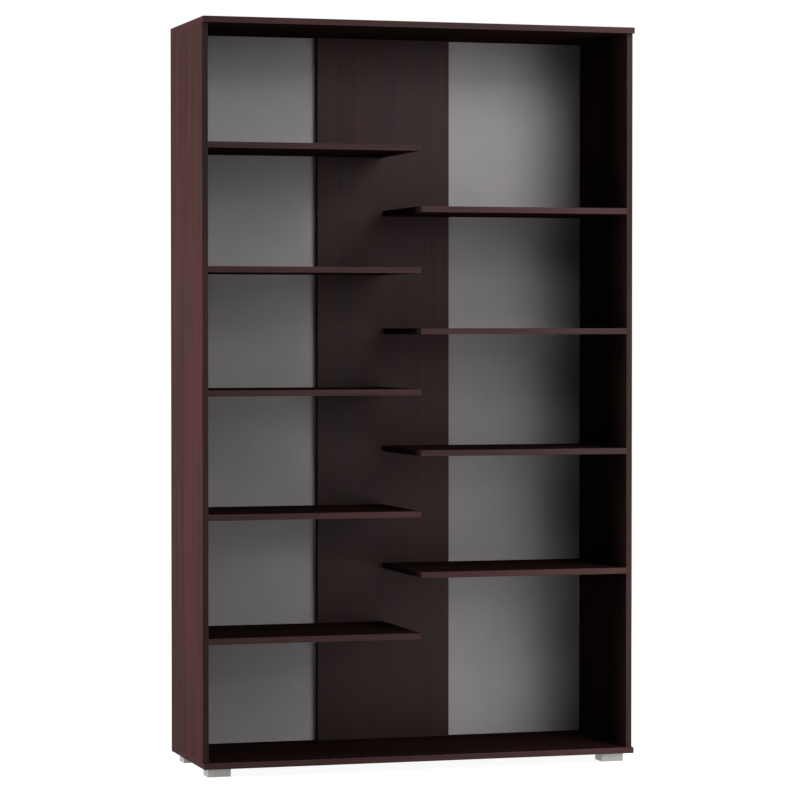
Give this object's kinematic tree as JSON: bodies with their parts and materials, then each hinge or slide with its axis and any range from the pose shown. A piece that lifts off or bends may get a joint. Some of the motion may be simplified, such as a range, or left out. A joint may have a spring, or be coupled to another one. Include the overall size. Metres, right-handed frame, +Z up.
{
  "type": "staircase bookshelf",
  "caption": "Tall open bookcase whose fixed shelves step up from the left and right sides in turn, joined to a wide upright board at the middle of its back, on low block feet.",
  "frame": {"origin": "on the floor under the middle of the bookcase", "axes": "+X to the right seen from the front, +Y to the rear, +Z up"},
  "size_m": [1.2, 0.4, 2],
  "materials": {
    "wenge_laminate": "satin dark wenge laminate on chipboard, fine straight grain",
    "wenge_edging": "satin dark wenge edge strip with rounded corners",
    "grey_hardboard": "grey lacquer on the front, raw brown hardboard behind",
    "silver_plastic": "silver-grey moulded plastic",
    "zinc_steel": "zinc plated",
    "beech": "plain turned beech",
    "brown_plastic": "dark brown moulded plastic"
  },
  "bodies": {
    "root": {"bottom_panel": "wenge_laminate", "top_panel": "wenge_laminate", "left_side": "wenge_laminate", "right_side": "wenge_laminate", "centre_board": "wenge_laminate", "left_shelf_1": "wenge_laminate", "left_shelf_2": "wenge_laminate", "left_shelf_3": "wenge_laminate", "left_shelf_4": "wenge_laminate", "left_shelf_5": "wenge_laminate", "right_shelf_1": "wenge_laminate", "right_shelf_2": "wenge_laminate", "right_shelf_3": "wenge_laminate", "right_shelf_4": "wenge_laminate", "bottom_panel_edging": "wenge_edging", "top_panel_edging": "wenge_edging", "left_side_edging": "wenge_edging", "right_side_edging": "wenge_edging", "centre_board_edging": "wenge_edging", "left_shelf_1_edging": "wenge_edging", "left_shelf_2_edging": "wenge_edging", "left_shelf_3_edging": "wenge_edging", "left_shelf_4_edging": "wenge_edging", "left_shelf_5_edging": "wenge_edging", "right_shelf_1_edging": "wenge_edging", "right_shelf_2_edging": "wenge_edging", "right_shelf_3_edging": "wenge_edging", "right_shelf_4_edging": "wenge_edging", "left_back_sheet": "grey_hardboard", "right_back_sheet": "grey_hardboard", "foot_front_left": "silver_plastic", "foot_front_right": "silver_plastic", "foot_rear_left": "silver_plastic", "foot_rear_right": "silver_plastic", "case_cam_locks": "zinc_steel", "shelf_cam_locks": "zinc_steel", "centre_board_cam_locks": "zinc_steel", "case_cam_bolts": "zinc_steel", "shelf_cam_bolts": "zinc_steel", "centre_board_cam_bolts": "zinc_steel", "shelf_screws": "zinc_steel", "foot_screws": "zinc_steel", "back_nails": "zinc_steel", "case_dowels": "beech", "shelf_dowels": "beech", "centre_board_dowels": "beech", "case_cam_caps": "brown_plastic", "shelf_cam_caps": "brown_plastic"}
  },
  "joints": []
}
